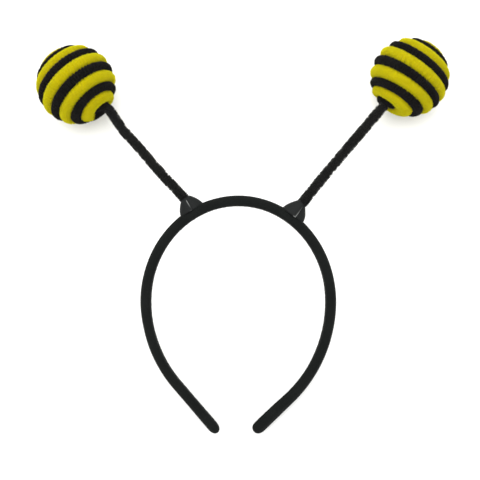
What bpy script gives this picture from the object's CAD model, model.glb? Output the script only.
import math

import bpy
import numpy as np
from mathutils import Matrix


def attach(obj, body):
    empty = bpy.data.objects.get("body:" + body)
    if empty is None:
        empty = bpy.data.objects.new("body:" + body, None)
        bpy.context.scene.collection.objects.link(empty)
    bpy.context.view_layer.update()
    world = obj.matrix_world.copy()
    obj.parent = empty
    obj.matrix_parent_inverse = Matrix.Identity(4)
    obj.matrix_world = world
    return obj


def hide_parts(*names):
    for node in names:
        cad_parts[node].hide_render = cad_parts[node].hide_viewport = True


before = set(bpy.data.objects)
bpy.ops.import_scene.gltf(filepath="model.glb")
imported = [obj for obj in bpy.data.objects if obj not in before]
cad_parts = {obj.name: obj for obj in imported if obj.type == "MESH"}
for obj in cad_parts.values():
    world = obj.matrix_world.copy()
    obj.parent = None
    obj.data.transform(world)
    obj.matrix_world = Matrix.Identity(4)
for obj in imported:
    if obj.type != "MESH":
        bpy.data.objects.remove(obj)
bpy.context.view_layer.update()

print("frame loaded:", len(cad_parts), "nodes")

# All shapes are worked out in millimetres in the hoop's plane (X to the side, Y up to the crown, Z out of
# the plane) and then laid down the way the headband rests: on the tips of the hoop and on both balls.
rest = {"tilt": math.radians(8.6), "shift": (-2.9587, -42.2942, 16.651), "lowest": 0.05}
outOfPlane = np.array([0.0, 0.0, 1.0])
goldenPart = 0.6180339887  # tufts that step on by this share of the way round or across never line up


# turned about X by the tilt, moved onto the footprint's middle, pressed flat on the floor, in metres
def layDown(points):
    x, y, z = np.moveaxis(np.asarray(points, float), -1, 0)
    cos, sin = math.cos(rest["tilt"]), math.sin(rest["tilt"])
    shiftX, shiftY, shiftZ = rest["shift"]
    height = np.maximum(y * sin + z * cos + shiftZ, rest["lowest"])
    return np.stack([x + shiftX, y * cos - z * sin + shiftY, height], -1) / 1000


# 0 before the start, 1 after the end, an even S-curve between them; a start above the end makes it fall
def easeIn(value, start, end):
    share = np.clip((value - start) / (end - start), 0, 1)
    return share * share * (3 - 2 * share)


# each vector over its own length
def unit(vectors):
    return vectors / np.linalg.norm(vectors, axis=-1, keepdims=True)


# unit vector from an angle round Z and an angle up from the hoop's plane, both in degrees
def heading(turnDegrees, upDegrees):
    turn, up = math.radians(turnDegrees), math.radians(upDegrees)
    return np.array([math.cos(turn) * math.cos(up), math.sin(turn) * math.cos(up), math.sin(up)])


# distance walked along a line of points from its first one: the running sum of the steps
def walkedAlong(line):
    return np.concatenate([[0], np.cumsum(np.linalg.norm(np.diff(line, axis=0), axis=1))])


# slow uneven waves from -1 to 1: the mean of five sines of the two coordinates, whose wave lengths and
# phases are drawn once
def unevenness(u, v, waveU, waveV, draws):
    waves = 5
    total = 0
    for _ in range(waves):
        turnU = draws.uniform(0.6, 1.7)
        turnV = draws.uniform(-1.6, 1.6)
        phase = draws.uniform(0, 6.3)
        total = total + np.sin(2 * np.pi * (u * turnU / waveU + v * turnV / waveV) + phase)
    return total / waves


# quads between the rings of a grid that closes round its columns, and a fan of triangles over each end
def tubeFaces(rows, columns):
    row, column = np.mgrid[0:rows - 1, 0:columns]
    here = row * columns + column
    beside = row * columns + (column + 1) % columns
    quads = np.stack([here, beside, beside + columns, here + columns], -1).reshape(-1, 4)
    ring = np.arange(columns)
    nextInRing = (ring + 1) % columns
    lastRing = (rows - 1) * columns
    firstPole = np.full(columns, rows * columns)
    fans = [
        np.stack([nextInRing, ring, firstPole], -1),
        np.stack([lastRing + ring, lastRing + nextInRing, firstPole + 1], -1),
    ]
    return quads, np.concatenate(fans)


# rings (rows, columns, 3) to points and faces of one closed tube, faces outward by the sign of its volume
def closedTube(rings):
    rows, columns = rings.shape[:2]
    points = np.concatenate([rings.reshape(-1, 3), rings[:1].mean(1), rings[-1:].mean(1)])
    quads, fans = tubeFaces(rows, columns)
    halves = np.concatenate([quads[:, [0, 1, 2]], quads[:, [0, 2, 3]], fans])
    a, b, c = (points[halves[:, k]] - points.mean(0) for k in range(3))
    if np.einsum("ij,ij->i", a, np.cross(b, c)).sum() < 0:
        quads, fans = quads[:, ::-1], fans[:, ::-1]
    return points, quads, fans


# tufts of pile: each is a thin three-sided spike from just under its root along its own leaning direction
def tufts(roots, outward, lengths, girth, lean, draws):
    count = len(roots)
    rootDepth = 0.12
    sideways = unit(np.cross(outward, unit(draws.normal(size=(count, 3)))))
    other = np.cross(outward, sideways)
    corner = 2 * np.pi * np.arange(3) / 3
    foot = np.cos(corner)[None, :, None] * sideways[:, None] + np.sin(corner)[None, :, None] * other[:, None]
    feet = roots[:, None] - rootDepth * outward[:, None] + np.reshape(girth, (-1, 1, 1)) * foot
    tips = roots + lengths[:, None] * unit(outward + lean * draws.normal(size=(count, 3)))
    points = np.concatenate([feet, tips[:, None]], 1).reshape(-1, 3)
    spike = np.array([[0, 1, 3], [1, 2, 3], [2, 0, 3], [0, 2, 1]])
    triangles = (np.arange(count)[:, None, None] * 4 + spike).reshape(-1, 3)
    return points, triangles


# arrays straight into a mesh object, with one number per point for each attribute
def makePiece(name, points, quads, triangles, attributes=None):
    mesh = bpy.data.meshes.new(name)
    corners = np.concatenate([quads.ravel(), triangles.ravel()]).astype(np.int32)
    starts = np.concatenate([np.arange(len(quads)) * 4, len(quads) * 4 + np.arange(len(triangles)) * 3])
    mesh.vertices.add(len(points))
    mesh.vertices.foreach_set("co", layDown(points).astype(np.float32).ravel())
    mesh.loops.add(len(corners))
    mesh.loops.foreach_set("vertex_index", corners)
    mesh.polygons.add(len(starts))
    mesh.polygons.foreach_set("loop_start", starts.astype(np.int32))
    mesh.polygons.foreach_set("use_smooth", np.ones(len(starts), bool))
    for key, values in (attributes or {}).items():
        mesh.attributes.new(key, "FLOAT", "POINT").data.foreach_set("value", values.astype(np.float32))
    mesh.update(calc_edges=True)
    mesh.validate()
    piece = bpy.data.objects.new(name, mesh)
    bpy.context.collection.objects.link(piece)
    return piece


# a piece's material, the body it rides on, the solid it stands for and its slot
def dress(piece, material, node):
    piece.data.materials.append(material)
    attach(piece, "root")
    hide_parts(node)
    print("made", piece.name, len(piece.data.polygons), "faces")


# sRGB hex to linear colour
def linearColour(hexText):
    shares = [int(hexText[k:k + 2], 16) / 255 for k in (1, 3, 5)]
    return [s / 12.92 if s <= 0.04045 else ((s + 0.055) / 1.055) ** 2.4 for s in shares] + [1.0]


# a node's inputs: each is a value or another node's output
def setInputs(material, node, inputs):
    for key, value in inputs.items():
        if isinstance(value, bpy.types.NodeSocket):
            material.node_tree.links.new(value, node.inputs[key])
        else:
            node.inputs[key].default_value = value


# one node with its settings and inputs
def addNode(material, kind, inputs=None, **settings):
    node = material.node_tree.nodes.new("ShaderNode" + kind)
    for key, value in settings.items():
        setattr(node, key, value)
    setInputs(material, node, inputs or {})
    return node


# noise fixed to the piece, with grains of a size in metres
def noise(material, place, size, detail):
    inputs = {"Vector": place.outputs["Object"], "Scale": 1 / size, "Detail": detail}
    return addNode(material, "TexNoise", inputs).outputs["Fac"]


# cells fixed to the piece, of a size in metres: the distance from the middle of each
def cells(material, place, size):
    inputs = {"Vector": place.outputs["Object"], "Scale": 1 / size}
    return addNode(material, "TexVoronoi", inputs).outputs["Distance"]


# from one colour to another by a share
def blend(material, share, start, end):
    inputs = {"Factor": share, "A": start, "B": end}
    return addNode(material, "Mix", inputs, data_type="RGBA").outputs["Result"]


# the product of two outputs
def product(material, first, second):
    return addNode(material, "Math", {0: first, 1: second}, operation="MULTIPLY").outputs[0]


# a new material and its shader
def newMaterial(name):
    material = bpy.data.materials.new(name)
    material.use_nodes = True
    return material, material.node_tree.nodes["Principled BSDF"]


# Chenille: cut polyester pile held in a twisted wire. Matt and deep, darker at the roots, each tuft a shade
# of its own, with a faint sheen off the sides of the fibres. Uneven dye over about 9 mm.
def chenille(name, rootHex, tipHex, strayHex, gloss, sheen):
    material, shader = newMaterial(name)
    tip = addNode(material, "Attribute", attribute_name="tuftTip").outputs["Fac"]
    shade = addNode(material, "Attribute", attribute_name="tuftShade").outputs["Fac"]
    place = addNode(material, "TexCoord")
    dye = noise(material, place, 0.009, 2.0)
    pile = blend(material, tip, linearColour(rootHex), linearColour(tipHex))
    patchy = addNode(material, "MapRange", {"Value": dye, "From Min": 0.3, "From Max": 0.6})
    stray = product(material, shade, patchy.outputs[0])
    setInputs(material, shader, {
        "Base Color": blend(material, stray, pile, linearColour(strayHex)), "Roughness": 0.95, "IOR": 1.5,
        "Specular IOR Level": gloss, "Sheen Weight": sheen, "Sheen Roughness": 0.5})
    return material


# Velour: a short dense polyester nap on a knitted back, glued round the hoop. Almost black face on, a soft
# grey line where the nap turns away. The nap is about 0.4 mm and is drawn at 1.2 mm, or it would not show.
def velour():
    material, shader = newMaterial("blackVelourCloth")
    place = addNode(material, "TexCoord")
    nap = noise(material, place, 0.0012, 3.0)
    lay = noise(material, place, 0.014, 2.0)
    brushed = product(material, nap, lay)
    tone = blend(material, brushed, linearColour("#0b0d0c"), linearColour("#1d1f1e"))
    bump = addNode(material, "Bump", {"Height": nap, "Strength": 0.35, "Distance": 0.0004})
    setInputs(material, shader, {
        "Base Color": tone, "Normal": bump.outputs["Normal"], "Roughness": 0.9, "IOR": 1.5,
        "Specular IOR Level": 0.08, "Sheen Weight": 0.06, "Sheen Roughness": 0.3})
    return material


# Leatherette: vinyl skin on a pale knitted back, its grain pressed by a roller. Dark grey and low in gloss,
# pale where the strip was cut. Grain cells of about 0.8 mm are drawn at 1.5 mm to show.
def leatherette():
    material, shader = newMaterial("blackLeatherette")
    place = addNode(material, "TexCoord")
    cut = addNode(material, "Attribute", attribute_name="cutEdge").outputs["Fac"]
    grain = cells(material, place, 0.0015)
    rubbed = noise(material, place, 0.004, 3.0)
    skin = blend(material, rubbed, linearColour("#0d0f0e"), linearColour("#161818"))
    edged = blend(material, cut, skin, linearColour("#8c8e8b"))
    bump = addNode(material, "Bump", {"Height": grain, "Strength": 0.3, "Distance": 0.0003})
    matt = addNode(material, "MapRange", {"Value": rubbed, "To Min": 0.5, "To Max": 0.68})
    setInputs(material, shader, {
        "Base Color": edged, "Normal": bump.outputs["Normal"], "Roughness": matt.outputs[0],
        "IOR": 1.53, "Specular IOR Level": 0.12})
    return material


# Foam: expanded polystyrene beads fused in a mould. White, matt, with beads of about 3 mm.
def foam():
    material, shader = newMaterial("whiteBeadFoam")
    place = addNode(material, "TexCoord")
    beads = cells(material, place, 0.003)
    tone = blend(material, beads, linearColour("#f1efe8"), linearColour("#d8d5ca"))
    bump = addNode(material, "Bump", {"Height": beads, "Strength": 0.4, "Distance": 0.0005}, invert=True)
    setInputs(material, shader, {
        "Base Color": tone, "Normal": bump.outputs["Normal"], "Roughness": 0.8, "IOR": 1.5})
    return material


blackCloth = velour()
blackPile = chenille("blackChenille", "#0b0a09", "#191715", "#242220", 0.08, 0.04)
stemPile = chenille("blackStemChenille", "#0c0c0b", "#212120", "#888884", 0.1, 0.06)
yellowPile = chenille("yellowChenille", "#b8aa04", "#d2d010", "#d9cc0c", 0.06, 0.035)
collarSkin = leatherette()
ballFoam = foam()
print("materials made")

# the twist's start and end and the nap's fade are counted in rings
hoop = {
    "halfWidth": 57.2, "rise": 62.2, "thickness": 6.2, "napThickness": 0.2, "depth": 10.0,
    "outerPower": 2.0, "innerPower": 3.6, "innerFace": (math.radians(90), math.radians(125)),
    "tipLength": 5.4, "tipPower": 2.25, "twistStart": 20, "twistEnd": 40, "crownNap": 0.3, "napFade": 30,
    "sides": 72, "crownRings": 300, "cheekRings": 84, "armRings": 60, "tipRings": 26,
    "inside": (0.2, 0.8), "seamDepth": 0.28, "seamWidth": 0.5, "lipHeight": 0.4, "lipPlace": 2.4,
    "puckerDepth": 0.07, "puckerSpacing": 3.4, "puckerAcross": 14.0,
    "slack": 0.9, "slackSpacing": 46.0, "slackAcross": 30.0, "seed": 11,
}


# half ellipse: middle of the thickness and outward direction at an angle from the right
def crownStation(angle):
    cos, sin = np.cos(angle), np.sin(angle)
    flat = np.zeros_like(cos)
    middle = np.stack([hoop["halfWidth"] * cos, hoop["rise"] * sin, flat], -1)
    outward = unit(np.stack([cos / hoop["halfWidth"], sin / hoop["rise"], flat], -1))
    return middle, outward


# below the widest line: an arc of the cheek's own radius, then a straight arm along its last direction;
# the share of the full section falls to nothing over the tip as a superellipse; the arm twists and grows
# fuller on its way down
def cheekStations(side):
    sign, radius, arm = side["sign"], side["cheekRadius"], side["armLength"]
    turn = math.radians(side["cheekTurn"])
    angle = -turn * np.arange(1, hoop["cheekRings"] + 1) / hoop["cheekRings"]
    outward = np.stack([sign * np.cos(angle), np.sin(angle), np.zeros_like(angle)], -1)
    middle = radius * outward + [sign * (hoop["halfWidth"] - radius), 0, 0]
    down = np.array([sign * outward[-1, 1], -sign * outward[-1, 0], 0])
    straight = np.linspace(0, arm - hoop["tipLength"], hoop["armRings"])[1:]
    rounded = arm - hoop["tipLength"] * (1 - np.sin(np.linspace(0, np.pi / 2, hoop["tipRings"])[1:-1]))
    travelled = np.concatenate([straight, rounded])
    fromTip = np.clip((arm - travelled) / hoop["tipLength"], 0, 1)
    share = (1 - (1 - fromTip) ** hoop["tipPower"]) ** (1 / hoop["tipPower"])
    armMiddle = middle[-1] + travelled[:, None] * down
    armOutward = np.repeat(outward[-1:], len(travelled), 0)
    shares = np.concatenate([np.ones(len(angle)), share])
    lower = easeIn(np.arange(len(shares)), hoop["twistStart"], len(angle) + hoop["twistEnd"])
    middle = np.concatenate([middle, armMiddle])
    outward = np.concatenate([outward, armOutward])
    return middle, outward, shares, math.radians(side["armTwist"]) * lower, side["armFuller"] * lower


# the hoop's section: round outside (a circle of power 2) and flat on the head (a superellipse of power
# 3.6); on the flat face the cloth's two edges meet in a groove between low lips, both bell curves, and it
# puckers along its inner sides
def makeHoop(sides):
    left, right = (cheekStations(side) for side in sides)
    crown = crownStation(np.linspace(0, np.pi, hoop["crownRings"]))
    ones = np.ones(hoop["crownRings"])

    def joined(k, crownPart):
        return np.concatenate([right[k][::-1], crownPart, left[k]])
    middle = joined(0, crown[0])
    outward = joined(1, crown[1])
    share = joined(2, ones)
    twist = joined(3, 0 * ones)[:, None]
    fuller = joined(4, 0 * ones)[:, None]
    leftNap = easeIn(np.arange(len(left[0])), hoop["napFade"], 0)
    nap = hoop["crownNap"] * np.concatenate([np.ones(len(right[0])), ones, leftNap])[:, None]
    along = walkedAlong(middle)
    angle = 2 * np.pi * np.arange(hoop["sides"]) / hoop["sides"]
    cos, sin = np.cos(angle), np.sin(angle)
    flatter = easeIn(np.abs(np.angle(np.exp(1j * angle))), *hoop["innerFace"])
    power = hoop["outerPower"] + (hoop["innerPower"] - hoop["outerPower"]) * flatter
    reach = (np.abs(cos) ** power + np.abs(sin) ** power) ** (-1 / power)
    out = reach * cos * (hoop["thickness"] + hoop["napThickness"] + fuller) / 2
    across = reach * sin * hoop["depth"] / 2
    inside = easeIn(-cos, *hoop["inside"])
    groove = np.exp(-(across / hoop["seamWidth"]) ** 2)
    fromLip = np.abs(across) - hoop["lipPlace"] * hoop["seamWidth"]
    lips = hoop["lipHeight"] * np.exp(-(fromLip / hoop["seamWidth"]) ** 2)
    seam = inside * hoop["seamDepth"] * (groove - lips)
    draws = np.random.default_rng(hoop["seed"])
    pucker = unevenness(along[:, None], across[None], hoop["puckerSpacing"], hoop["puckerAcross"], draws)
    slack = unevenness(along[:, None], across[None], hoop["slackSpacing"], hoop["slackAcross"], draws)
    lift = hoop["puckerDepth"] * (inside * (1 - groove) * pucker + hoop["slack"] * slack)
    outBy = out + seam + lift * cos + nap * np.clip(cos, 0, 1)
    acrossBy = across + lift * sin
    rings = middle[:, None] + share[:, None, None] * (
        outward[:, None] * (outBy * np.cos(twist) - acrossBy * np.sin(twist))[..., None]
        + outOfPlane * (acrossBy * np.cos(twist) + outBy * np.sin(twist))[..., None])
    piece = makePiece("band_velour", *closedTube(rings))
    dress(piece, blackCloth, "band")


# half sizes as base, change with the height and change with its square
collar = {
    "wall": 1.0, "height": 8.2, "halfAlong": (7.75, -1.75, -2.7), "halfAcross": (4.3, 0.1, -0.8),
    "lap": math.radians(34), "lapGap": 0.1, "liftOver": (1.4 * math.pi, 2 * math.pi),
    "hemDrop": 1.0, "hemSpread": 0.7, "offFace": 0.2, "rimRound": 0.4, "hemRound": 0.3,
    "wave": 0.12, "waveSpacing": 14.0, "meanRadius": 5.0, "turnSteps": 150, "wallSteps": 26, "bendSteps": 7,
    "edgeWidth": 0.38, "edgeFull": 0.1, "paleChange": (0.1, 0.7), "paleEnd": (0.78, 0.92),
    "hemReach": (1.1, 0.7), "hemBand": (0.05, 0.01), "seed": 23,
}


# the foot's own frame: along the hoop away from its crown, across its depth, and up off its outer face
def footPlace(side):
    middle, outward = crownStation(np.array(math.radians(side["footAngle"])))
    origin = middle + outward * hoop["thickness"] / 2
    along = np.array([outward[1], -outward[0], 0]) * side["sign"]
    slope = math.tan(math.radians(side["lean"]))

    def place(alongBy, acrossBy, upBy):
        alongBy, acrossBy, upBy = np.broadcast_arrays(alongBy, acrossBy, upBy)
        return (origin + along * (alongBy + upBy * slope)[..., None]
                + outOfPlane * acrossBy[..., None] + outward * upBy[..., None])
    return place


# how far the outer face lies below its crest: the round of the section across, the round of the hoop along
def faceDrop(along, across):
    share = np.clip(np.abs(across) / (hoop["depth"] / 2 + collar["hemSpread"]), 0, 1)
    sectionDrop = (1 - np.sqrt(1 - share ** 2)) * hoop["thickness"] / 2
    return sectionDrop + along ** 2 / (2 * (hoop["halfWidth"] + hoop["thickness"] / 2))


# a base, plus a part in proportion to the level, plus a part in proportion to its square
def halfSize(level, base, change, squareChange):
    return base + change * level + squareChange * level ** 2


# a strip rolled once round the stem: its half sizes shrink with the square of the height, its wall is a
# closed loop up the outside and down the inside, its rim stands square to the stem, and its outer end laps
# over its start
def makeCollar(side, place):
    angle = np.linspace(0, 2 * np.pi + collar["lap"], collar["turnSteps"])[:, None]
    lift = (collar["wall"] + collar["lapGap"]) * easeIn(angle, *collar["liftOver"])
    outside = np.linspace(0, 1, collar["wallSteps"])
    bend = np.linspace(0, np.pi, collar["bendSteps"])[1:-1]
    level = np.concatenate([outside, 1 + 0 * bend, outside[::-1], 0 * bend])[None]
    rimRound = collar["rimRound"] * np.sin(bend)
    hemRound = -collar["hemRound"] * np.sin(bend)
    rounding = np.concatenate([0 * outside, rimRound, 0 * outside, hemRound])[None]
    overRim, underHem = (1 - np.cos(bend)) / 2, (1 + np.cos(bend)) / 2
    inset = collar["wall"] * np.concatenate([0 * outside, overRim, 1 + 0 * outside, underHem])
    draws = np.random.default_rng(collar["seed"] + side["sign"])
    wave = collar["wave"] * unevenness(angle * collar["meanRadius"], level, collar["waveSpacing"], 1.0, draws)
    halfAlong = halfSize(level, *collar["halfAlong"]) + lift - inset + wave
    halfAcross = halfSize(level, *collar["halfAcross"]) + lift - inset + wave
    turned = math.radians(side["seam"]) + side["hand"] * (angle - angle[-1])
    along, across = halfAlong * np.cos(turned), halfAcross * np.sin(turned)
    rim, rimTilt = side["rim"]
    up = level * (rim - rimTilt * np.cos(turned)) + rounding
    fall = np.minimum(faceDrop(along, across), collar["hemDrop"]) * (1 - level)
    rings = place(along, across, up - fall + collar["offFace"])
    # the cut edge shows its pale back, more where it is rubbed, and so does a bit of the hem beside it
    fromEnd = (angle[-1] - angle) * collar["meanRadius"]
    atHem, atTop = side["seamPale"]
    rubbed = atHem + (atTop - atHem) * easeIn(level, *collar["paleChange"])
    rubbed = rubbed * (1 - easeIn(level, *collar["paleEnd"]))
    edge = easeIn(fromEnd, collar["edgeWidth"], collar["edgeFull"] * collar["edgeWidth"]) * rubbed
    hem = side["hemPale"] * easeIn(fromEnd, *collar["hemReach"]) * easeIn(level, *collar["hemBand"])
    points, quads, fans = closedTube(rings)
    cutEdge = np.concatenate([np.maximum(edge, hem).ravel(), [1, 1]])
    piece = makePiece("collar_leatherette_" + side["name"], points, quads, fans, {"cutEdge": cutEdge})
    dress(piece, collarSkin, "collar_" + side["name"])


# the radius eases out over ranges past the collar's rim, and past the core and the turns of the ball
stem = {
    "footRadius": 2.6, "tipRadius": 2.6, "footHeight": 0.45, "neckDepth": 0.5, "endGap": 1.0,
    "atCollar": (-2.0, 0.5), "atBall": (0.8, 1.5), "lump": 0.2, "lumpSpacing": 13.0, "lumpRound": 1.6,
    "curveSteps": 80, "lineSteps": 800, "rings": 320, "sides": 16,
    "pile": 0.95, "footPile": 0.6, "tufts": 21000, "girth": 0.17, "lean": 0.3, "lengths": (0.2, 2.0),
    "bareInCollar": 0.4, "bareInBall": 16.0, "clump": 0.15, "clumpSpacing": 3.2, "uneven": 0.12,
    "twist": 8.2, "patch": 5.2, "patchRound": 1.5, "partSides": (0.5, 0.8), "partFoot": (11, 15),
    "partThin": 0.8, "partFine": 0.3, "partLonger": 0.1, "partPale": 0.3, "shade": 0.05,
    "stray": 0.03, "strayLonger": 0.45, "lumpSeed": 31, "partSeed": 37, "tuftSeed": 41,
}


# a smooth curve through the points whose knots are spaced by the square root of the chord,
# each stretch a cubic with the slopes of the neighbouring chords
def smoothPath(points, steps):
    ends = np.concatenate([[2 * points[0] - points[1]], points, [2 * points[-1] - points[-2]]])
    knot = np.sqrt(np.linalg.norm(np.diff(ends, axis=0), axis=1))[:, None]
    rise = np.diff(ends, axis=0) / knot
    wide = (ends[2:] - ends[:-2]) / (knot[1:] + knot[:-1])
    slope = rise[:-1] - wide + rise[1:]
    startSlope, endSlope = slope[:-1] * knot[1:-1], slope[1:] * knot[1:-1]
    t = np.linspace(0, 1, steps, endpoint=False)[None, :, None]
    start, end = points[:-1, None], points[1:, None]
    curve = ((2 * t ** 3 - 3 * t ** 2 + 1) * start + (t ** 3 - 2 * t ** 2 + t) * startSlope[:, None]
             + (3 * t ** 2 - 2 * t ** 3) * end + (t ** 3 - t ** 2) * endSlope[:, None])
    return np.concatenate([curve.reshape(-1, 3), points[-1:]])


# the stem's middle line, walked evenly, with its two side directions at each distance
def stemLine(side, place):
    entry = side["ballCentre"] + ball["radius"] * heading(*side["entry"])
    top = place(side["stemAside"], 0.0, collar["height"])
    bow = np.array(side["bow"])
    share = (bow[:, 1] - top[1]) / (entry[1] - top[1])
    bowPoints = np.column_stack([bow, share * entry[2]])
    hole = heading(*side["hole"])
    foot = place(0.0, 0.0, stem["footHeight"])
    neck = side["ballCentre"] + (ball["coreRadius"] - stem["neckDepth"]) * hole
    end = side["ballCentre"] + (ball["coreRadius"] - ball["holeDepth"] + stem["endGap"]) * hole
    line = smoothPath(np.array([foot, top, *bowPoints, entry, neck, end]), stem["curveSteps"])
    walked = walkedAlong(line)
    even = np.linspace(0, walked[-1], stem["lineSteps"])
    line = np.stack([np.interp(even, walked, line[:, k]) for k in range(3)], -1)
    forward = unit(np.gradient(line, axis=0))
    across = unit(np.cross(outOfPlane, forward))
    front = np.cross(forward, across)

    def at(distance):
        return [np.stack([np.interp(distance, even, field[:, k]) for k in range(3)], -1)
                for field in (line, across, front)]
    return at, walked[-1]


# 0 to 1 where the pile is parted: uneven patches that wind round with the wire, above the foot, and on the
# two sides where the stem was pressed flat in its pack
def stemParting(side, distance, angle):
    draws = np.random.default_rng(stem["partSeed"] + side["sign"])
    winding = np.cos(angle - 2 * np.pi * distance / stem["twist"])
    patch = unevenness(distance, winding, stem["patch"], stem["patchRound"], draws)
    sideOn = easeIn(np.abs(np.cos(angle)), *stem["partSides"])
    return easeIn(patch, *side["parting"]) * sideOn * easeIn(distance, *stem["partFoot"])


# radius of the stem under its pile: thin in the collar, full along the bow, thinner in the ball and a
# little lumpy; and how far it is out of the collar, from 0 to 1
def stemRadius(side, at, distance, angle):
    draws = np.random.default_rng(stem["lumpSeed"] + side["sign"])
    lump = stem["lump"] * unevenness(
        distance, angle / (2 * np.pi), stem["lumpSpacing"], stem["lumpRound"], draws)
    fromBall = np.linalg.norm(at(distance)[0] - side["ballCentre"], axis=-1)
    rimStart, rimEnd = stem["atCollar"]
    coreGap, ballGap = stem["atBall"]
    outOfCollar = easeIn(distance, side["rim"][0] + rimStart, side["rim"][0] + rimEnd)
    outOfBall = easeIn(fromBall, ball["coreRadius"] + coreGap, ball["radius"] + ballGap)
    foot = stem["footRadius"] + (side["stemRadius"] - stem["footRadius"]) * outOfCollar
    tip = stem["tipRadius"] + (side["stemRadius"] - stem["tipRadius"]) * outOfBall
    return np.minimum(foot, tip) + lump * outOfCollar * outOfBall - stem["pile"], outOfCollar


# a point at a distance along the stem, at an angle round it and a radius from its middle line
def stemPoint(at, distance, angle, radius):
    middle, across, front = at(distance)
    return middle + radius[..., None] * (across * np.cos(angle)[..., None] + front * np.sin(angle)[..., None])


# a tube under the pile, and tufts square to it, spread evenly along it and by the golden part round it
def makeStem(side, place):
    at, length = stemLine(side, place)
    distance, angle = np.meshgrid(np.linspace(0, length, stem["rings"]),
                                  2 * np.pi * np.arange(stem["sides"]) / stem["sides"], indexing="ij")
    radius, _ = stemRadius(side, at, distance, angle)
    ground = closedTube(stemPoint(at, distance, angle, radius))
    draws = np.random.default_rng(stem["tuftSeed"] + side["sign"])
    count = stem["tufts"]
    bare = side["rim"][0] - stem["bareInCollar"]
    furry = length - stem["bareInBall"] - bare
    rootAlong = bare + furry * (np.arange(count) + draws.random(count)) / count
    rootAngle = 2 * np.pi * ((np.arange(count) * goldenPart) % 1)
    rootRadius, full = stemRadius(side, at, rootAlong, rootAngle)
    roots = stemPoint(at, rootAlong, rootAngle, rootRadius)
    outward = unit(roots - at(rootAlong)[0])
    # where the pile parts some thin, paler tufts stay, and here and there a stray one stands out
    parted = stemParting(side, rootAlong, rootAngle)
    clump = stem["clump"] * unevenness(rootAlong, rootAngle / (2 * np.pi), stem["clumpSpacing"], 1.0, draws)
    lengths = stem["pile"] * (1 + clump + stem["uneven"] * draws.normal(size=count))
    lengths = lengths * (stem["footPile"] + (1 - stem["footPile"]) * full)
    stray = draws.random(count) < stem["stray"]
    lengths = lengths * (1 + stem["partLonger"] * parted + stem["strayLonger"] * stray)
    lengths = np.clip(lengths, *stem["lengths"])
    kept = draws.random(count) > stem["partThin"] * parted
    girth = stem["girth"] * (1 - stem["partFine"] * parted[kept])
    spikes = tufts(roots[kept], outward[kept], lengths[kept], girth, stem["lean"], draws)
    shade = (stem["shade"] * draws.random(count) + stem["partPale"] * parted)[kept]
    addPile("stem_chenille_" + side["name"], ground, spikes, shade, stemPile,
            "stem_" + side["name"])


# one mesh of the ground and its tufts, with each tuft's own shade and how far a point is towards its tip
def addPile(name, ground, spikes, shade, material, node):
    points, quads, fans = ground
    spikePoints, spikeFaces = spikes
    towardsTip = [0.25, 0.25, 0.25, 1]  # three corners of the foot, then the tip
    count = len(spikePoints) // len(towardsTip)
    tuftTip = np.concatenate([np.zeros(len(points)), np.tile(towardsTip, count)])
    tuftShade = np.concatenate([np.zeros(len(points)), np.repeat(shade, len(towardsTip))])
    piece = makePiece(name, np.concatenate([points, spikePoints]), quads,
                      np.concatenate([fans, spikeFaces + len(points)]),
                      {"tuftTip": tuftTip, "tuftShade": tuftShade})
    dress(piece, material, node)


# places along the winding in degrees from the pole, tail in turns
ball = {
    "radius": 24.7, "windingBase": 20.5, "coreRadius": 19.7, "holeDepth": 13.5,
    "pole": 1.5, "tail": 0.045, "tailStart": 0.01, "tailWidth": 1.5, "tailPower": 0.35, "tailFull": 0.5,
    "dimple": 0.7, "dimpleOver": (1, 12), "edgeDrop": 0.7, "edgePower": 2.2,
    "twistFade": (8, 30), "swayRise": (0, 25), "swayFade": (45, 110), "latitudeRounds": 4,
    "ringsPerTurn": 160, "topSteps": 19, "fineSteps": 4000, "girthPole": 4,
    "stepTurn": 0.002, "stepAcross": 0.02, "pile": 0.85, "tufts": 33000, "girth": 0.18, "lean": 0.3,
    "lengths": (0.3, 1.5), "uneven": 0.1,
    "tick": 1.9, "tickSkew": 0.35, "tickDepth": 0.14, "clump": 0.12, "clumpSpacing": 7.0, "clumpAcross": 1.6,
    "ragged": 2.2, "tooth": 2.1, "toothAcross": 3.0, "toothEdge": (0.72, 1.0), "toothLean": 0.5,
    "toothLonger": 0.6, "shade": 0.5, "shadeTick": 0.3, "shadeSpread": 0.6,
    "lineSeed": 71, "yellowSeed": 68, "blackSeed": 61,
}


# a point of the ball from its place along the winding (degrees from the start's pole), its longitude and
# its radius. The axis swings from the start's own to the winding's, near the start the longitude is twisted
# on, and the hand-wound turns bunch with the sine of twice the latitude and sway to one side once and twice
# round; the latitude is found by four rounds of taking these off the place along the winding
def ballPoint(side, wound, turned, radius):
    latitude = wound
    startTwist = side["hand"] * math.radians(side["startTwist"])
    swayOnce, towardsOnce, swayTwice, towardsTwice = side["sway"]
    for _ in range(ball["latitudeRounds"]):
        longitude = turned + startTwist * (1 - easeIn(latitude, *ball["twistFade"]))
        sway = swayOnce * np.cos(longitude - towardsOnce) + swayTwice * np.cos(2 * longitude - towardsTwice)
        swaying = (1 - easeIn(latitude, *ball["swayFade"])) * easeIn(latitude, *ball["swayRise"])
        latitude = wound - side["bunching"] * np.sin(np.radians(2 * latitude)) - swaying * sway
    swing = easeIn(latitude, *side["swing"])[..., None]
    axis = unit((1 - swing) * heading(*side["startAxis"]) + swing * heading(*side["windingAxis"]))
    zero = unit(np.cross(axis, outOfPlane))
    quarter = np.cross(axis, zero)
    lat = np.radians(latitude)[..., None]
    lon = longitude[..., None]
    return side["ballCentre"] + radius[..., None] * (
        np.cos(lat) * axis + np.sin(lat) * (np.cos(lon) * zero + np.sin(lon) * quarter))


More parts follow.
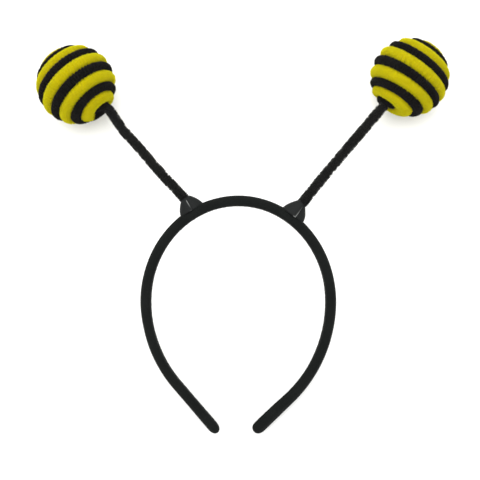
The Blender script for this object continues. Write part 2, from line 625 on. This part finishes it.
# the ragged line between two strands, in degrees: uneven teeth along the way that the line has run round
# the ball, which is a great circle times the turns in one radian, times minus the cosine of the place
def raggedLine(side, edge):
    run = -np.cos(np.radians(edge)) * 2 * np.pi * ball["radius"] * 180 / np.pi / side["pitch"]
    draws = np.random.default_rng(ball["lineSeed"] + side["sign"])
    return edge + ball["ragged"] * unevenness(run, 0, ball["tooth"], 1.0, draws)


# both edges of a strand, in degrees along the winding: they move out by one pitch a turn. Black lies
# between two turns of yellow and begins with a round end, which reaches at least as far as its cap; before
# it the turns of yellow lie edge to edge, and until yellow begins black fills the pole
def strandEdges(side, colour, turn):
    def blackEdges(turn):
        half = side["pitch"] * (1 - side["yellowShare"]) / 2
        middle = side["first"] + side["pitch"] * (turn + 0.5)
        begun = np.clip((turn - side["blackStart"]) / ball["tail"], 0, 1)
        grown = np.sqrt(1 - (1 - begun) ** 2)
        low, high = [middle + grown * (raggedLine(side, middle + way * half) - middle) for way in (-1, 1)]
        return low, np.where(begun > 0, np.maximum(high, side["blackCap"] * grown), high)
    if colour == "black":
        low, high = blackEdges(turn)
        low = np.where(turn < side["yellowStart"], 0, low)
    else:
        low, high = blackEdges(turn - 1)[1], blackEdges(turn)[0]
    return np.clip(low, ball["pole"], 180 - ball["pole"]), np.clip(high, ball["pole"], 180 - ball["pole"])


# a wound strand: across is -1 to 1 from one edge to the other, and the round over it falls with the power
# 2.2 towards the edges; it thins to nothing at both tails, and the first turn sinks into a dimple
def strandPoint(side, colour, turn, across, bottom=False):
    low, high = strandEdges(side, colour, turn)
    fullness = np.clip((high - low) / (ball["tailFull"] * side["pitch"]), 0, 1) ** ball["tailPower"]
    wound = (low + high) / 2 + (high - low) / 2 * across
    lobe = 1 - ball["edgeDrop"] * np.abs(across) ** ball["edgePower"]
    sunk = 1 - ball["dimple"] * (1 - easeIn(wound, *ball["dimpleOver"]))
    crest = ball["radius"] + side["bulge"] - ball["pile"] - ball["windingBase"]
    radius = ball["windingBase"] + (0 if bottom else crest * lobe * fullness * sunk)
    return ballPoint(side, wound, -side["hand"] * 2 * np.pi * turn, radius * np.ones_like(wound))


# a closed strip wound from the start to the far pole, and tufts square to it, spread evenly by its area
# along it and by the golden part across it
def makeStrand(side, colour, material):
    half = side["pitch"] * side["yellowShare"] / 2
    lastPlace = 180 - ball["pole"] - ball["tailWidth"] - side["first"]
    if colour == "yellow":
        startTurn = side["yellowStart"]
        endTurn = (lastPlace + half) / side["pitch"]
    else:
        startTurn = side["blackStart"] + ball["tailStart"] * ball["tail"]
        endTurn = (lastPlace - half) / side["pitch"]
    ringCount = int((endTurn - startTurn) * ball["ringsPerTurn"])
    turn, across = np.meshgrid(np.linspace(startTurn, endTurn, ringCount),
                               np.linspace(-1, 1, ball["topSteps"]), indexing="ij")
    top = strandPoint(side, colour, turn, across)
    under = strandPoint(side, colour, turn[:, :2], np.array([[1.0, -1.0]]), bottom=True)
    ground = closedTube(np.concatenate([top, under], 1))

    # roots of the tufts: the weight of each step is its girth round the axis times the strand's width
    draws = np.random.default_rng(ball[colour + "Seed"] + side["sign"])
    count = ball["tufts"]
    fine = np.linspace(startTurn, endTurn, ball["fineSteps"])
    low, high = strandEdges(side, colour, fine)
    girthThere = np.sin(np.radians(np.clip((low + high) / 2, ball["girthPole"], 180 - ball["girthPole"])))
    weight = np.cumsum(girthThere * (high - low))
    rootTurn = np.interp((np.arange(count) + draws.random(count)) / count, weight / weight[-1], fine)
    runThere = np.cumsum(girthThere) * ball["radius"] * 2 * np.pi * (fine[1] - fine[0])
    travelled = np.interp(rootTurn, fine, runThere)
    rootAcross = 2 * ((np.arange(count) * goldenPart) % 1) - 1

    def surface(turnBy, acrossBy):
        acrossThere = np.clip(rootAcross + acrossBy, -1, 1)
        return strandPoint(side, colour, rootTurn + turnBy, acrossThere)
    roots = surface(0, 0)
    alongTurn = surface(ball["stepTurn"], 0) - surface(-ball["stepTurn"], 0)
    alongAcross = surface(0, ball["stepAcross"]) - surface(0, -ball["stepAcross"])
    outward = unit(np.cross(alongTurn, alongAcross))
    outward = outward * np.sign(np.einsum("ij,ij->i", outward, roots - side["ballCentre"]))[:, None]
    # along both edges the pile leans over the neighbour and back again in teeth
    edge = np.sign(rootAcross) * easeIn(np.abs(rootAcross), *ball["toothEdge"])
    tooth = unevenness(travelled, np.sign(rootAcross), ball["tooth"], ball["toothAcross"], draws)
    leaning = unit(outward + (ball["toothLean"] * edge * tooth)[:, None] * unit(alongAcross))
    tick = np.cos(2 * np.pi * (travelled / ball["tick"] + ball["tickSkew"] * rootAcross))
    clump = unevenness(travelled, rootAcross, ball["clumpSpacing"], ball["clumpAcross"], draws)
    uneven = ball["uneven"] * draws.normal(size=count)
    lengths = ball["pile"] * (1 + ball["tickDepth"] * tick + ball["clump"] * clump + uneven)
    lengths = np.clip(lengths * (1 + ball["toothLonger"] * np.abs(edge) * tooth), *ball["lengths"])
    spikes = tufts(roots, leaning, lengths, ball["girth"], ball["lean"], draws)
    spread = ball["shadeSpread"] * (draws.random(count) - 0.5)
    shade = np.clip(ball["shade"] + ball["shadeTick"] * tick + spread, 0, 1)
    addPile(colour + "_chenille_" + side["name"], ground, spikes, shade, material,
            colour + "_strand_" + side["name"])


# each side: cheek and arm of the hoop; where the stem stands on it (degrees) with its lean; how far aside
# it leaves the collar; the collar's rim (height, tilt), lap (degrees) and pale edges; the range over which
# the pile parts; the stem's radius and bow; the ball's middle and how far its turns bulge; directions seen
# from there (degrees round Z, degrees up) for the stem's entry, its hole and the winding's two axes; the
# winding's hand and its measures in degrees, its sway as degrees and radians, once and twice round; and
# the turns where each strand starts, with the least reach of black's round end
sides = [
    {
        "name": "left", "sign": -1, "cheekRadius": 79.0, "cheekTurn": 40.6, "armLength": 39.2,
        "armTwist": 4, "armFuller": 0.15, "footAngle": 118.4, "lean": 0.5, "stemAside": 0.75,
        "rim": (7.0, 0.4), "seam": 90, "seamPale": (0.0, 1.0), "hemPale": 0.1, "parting": (0.05, 0.22),
        "stemRadius": 3.43, "bow": [(-47.1, 78.5), (-55.5, 88.05), (-63.7, 97.55), (-72.3, 107.1)],
        "ballCentre": np.array([-102.5, 136.2, -11.9]), "bulge": 0.6, "entry": (-37, 2), "hole": (-40, 3),
        "hand": 1, "startAxis": (-51.9, 6.6), "windingAxis": (-53.8, 12.85), "swing": (0.65, 44.4),
        "first": 17.57, "pitch": 32.42, "yellowShare": 0.553, "bunching": -0.515, "startTwist": -46,
        "sway": (4.95, -1.71, 1.33, -0.99), "blackStart": -1.15, "blackCap": 8.5, "yellowStart": -0.2,
    },
    {
        "name": "right", "sign": 1, "cheekRadius": 83.1, "cheekTurn": 46.2, "armLength": 30.2,
        "armTwist": 26, "armFuller": 0.3, "footAngle": 55.5, "lean": 4.0, "stemAside": -0.5,
        "rim": (8.0, 1.0), "seam": 78, "seamPale": (0.8, 0.2), "hemPale": 0.45, "parting": (-0.1, 0.12),
        "stemRadius": 3.62, "bow": [(54.15, 78.75), (62.1, 88.15), (70.2, 97.6), (78.5, 107.2)],
        "ballCentre": np.array([108.4, 140.9, -12.7]), "bulge": 0.5, "entry": (-132, 3.5),
        "hole": (-129, 3.5), "hand": -1, "startAxis": (-129.3, -2.3), "windingAxis": (-121.9, 2.55),
        "swing": (-2.3, 64.5), "first": 5.98, "pitch": 33.03, "yellowShare": 0.552, "bunching": 0.05,
        "startTwist": -63.4, "sway": (5.67, 0.19, 0.57, 1.67), "blackStart": -0.86, "blackCap": 0,
        "yellowStart": -0.39,
    },
]

makeHoop(sides)
for side in sides:
    place = footPlace(side)
    makeCollar(side, place)
    makeStem(side, place)
    makeStrand(side, "yellow", yellowPile)
    makeStrand(side, "black", blackPile)
    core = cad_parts["ball_core_" + side["name"]]  # keeps the solid's shape, under the winding
    core.data.materials.clear()
    core.data.materials.append(ballFoam)
print("pieces made")

# a white paper floor, even white light all round and one soft panel above, in metres and degrees
studio = {
    "floorRadius": 6.0, "floorCorners": 64, "world": 1.35, "panelSize": 1.6, "panelPower": 19.0,
    "panelPlace": (-0.25, 0.45, 1.5), "panelTurn": (-14, -9, 0),
    "cameraPlace": (1.06, 38.06, 600.0), "halfView": 0.248,
}
paper, paperShader = newMaterial("whitePaperFloor")
setInputs(paper, paperShader, {"Base Color": linearColour("#f6f6f4"), "Roughness": 0.9})
around = 2 * np.pi * np.arange(studio["floorCorners"]) / studio["floorCorners"]
floorEdge = np.stack([np.cos(around), np.sin(around), 0 * around], -1) * studio["floorRadius"]
floorMesh = bpy.data.meshes.new("floor")
floorMesh.from_pydata(floorEdge, [], [range(studio["floorCorners"])])
floor = bpy.data.objects.new("floor", floorMesh)
floorMesh.materials.append(paper)
bpy.context.collection.objects.link(floor)

world = bpy.data.worlds.new("studioWhite")
world.use_nodes = True
world.node_tree.nodes["Background"].inputs["Color"].default_value = (1, 1, 1, 1)
world.node_tree.nodes["Background"].inputs["Strength"].default_value = studio["world"]
bpy.context.scene.world = world
panelData = bpy.data.lights.new("softPanel", "AREA")
panelData.size = studio["panelSize"]
panelData.energy = studio["panelPower"]
panel = bpy.data.objects.new("softPanel", panelData)
panel.location = studio["panelPlace"]
panel.rotation_euler = [math.radians(turn) for turn in studio["panelTurn"]]
bpy.context.collection.objects.link(panel)

# the camera stands in the hoop's own frame, in millimetres, and looks square onto its plane; half of its
# view is a set share of the distance
cameraData = bpy.data.cameras.new("camera")
cameraData.lens = cameraData.sensor_width / 2 / studio["halfView"]
camera = bpy.data.objects.new("camera", cameraData)
camera.location = layDown(studio["cameraPlace"])
camera.rotation_euler = (rest["tilt"], 0, 0)
bpy.context.collection.objects.link(camera)
bpy.context.scene.camera = camera
bpy.context.scene.view_settings.view_transform = "Standard"
print("studio set")
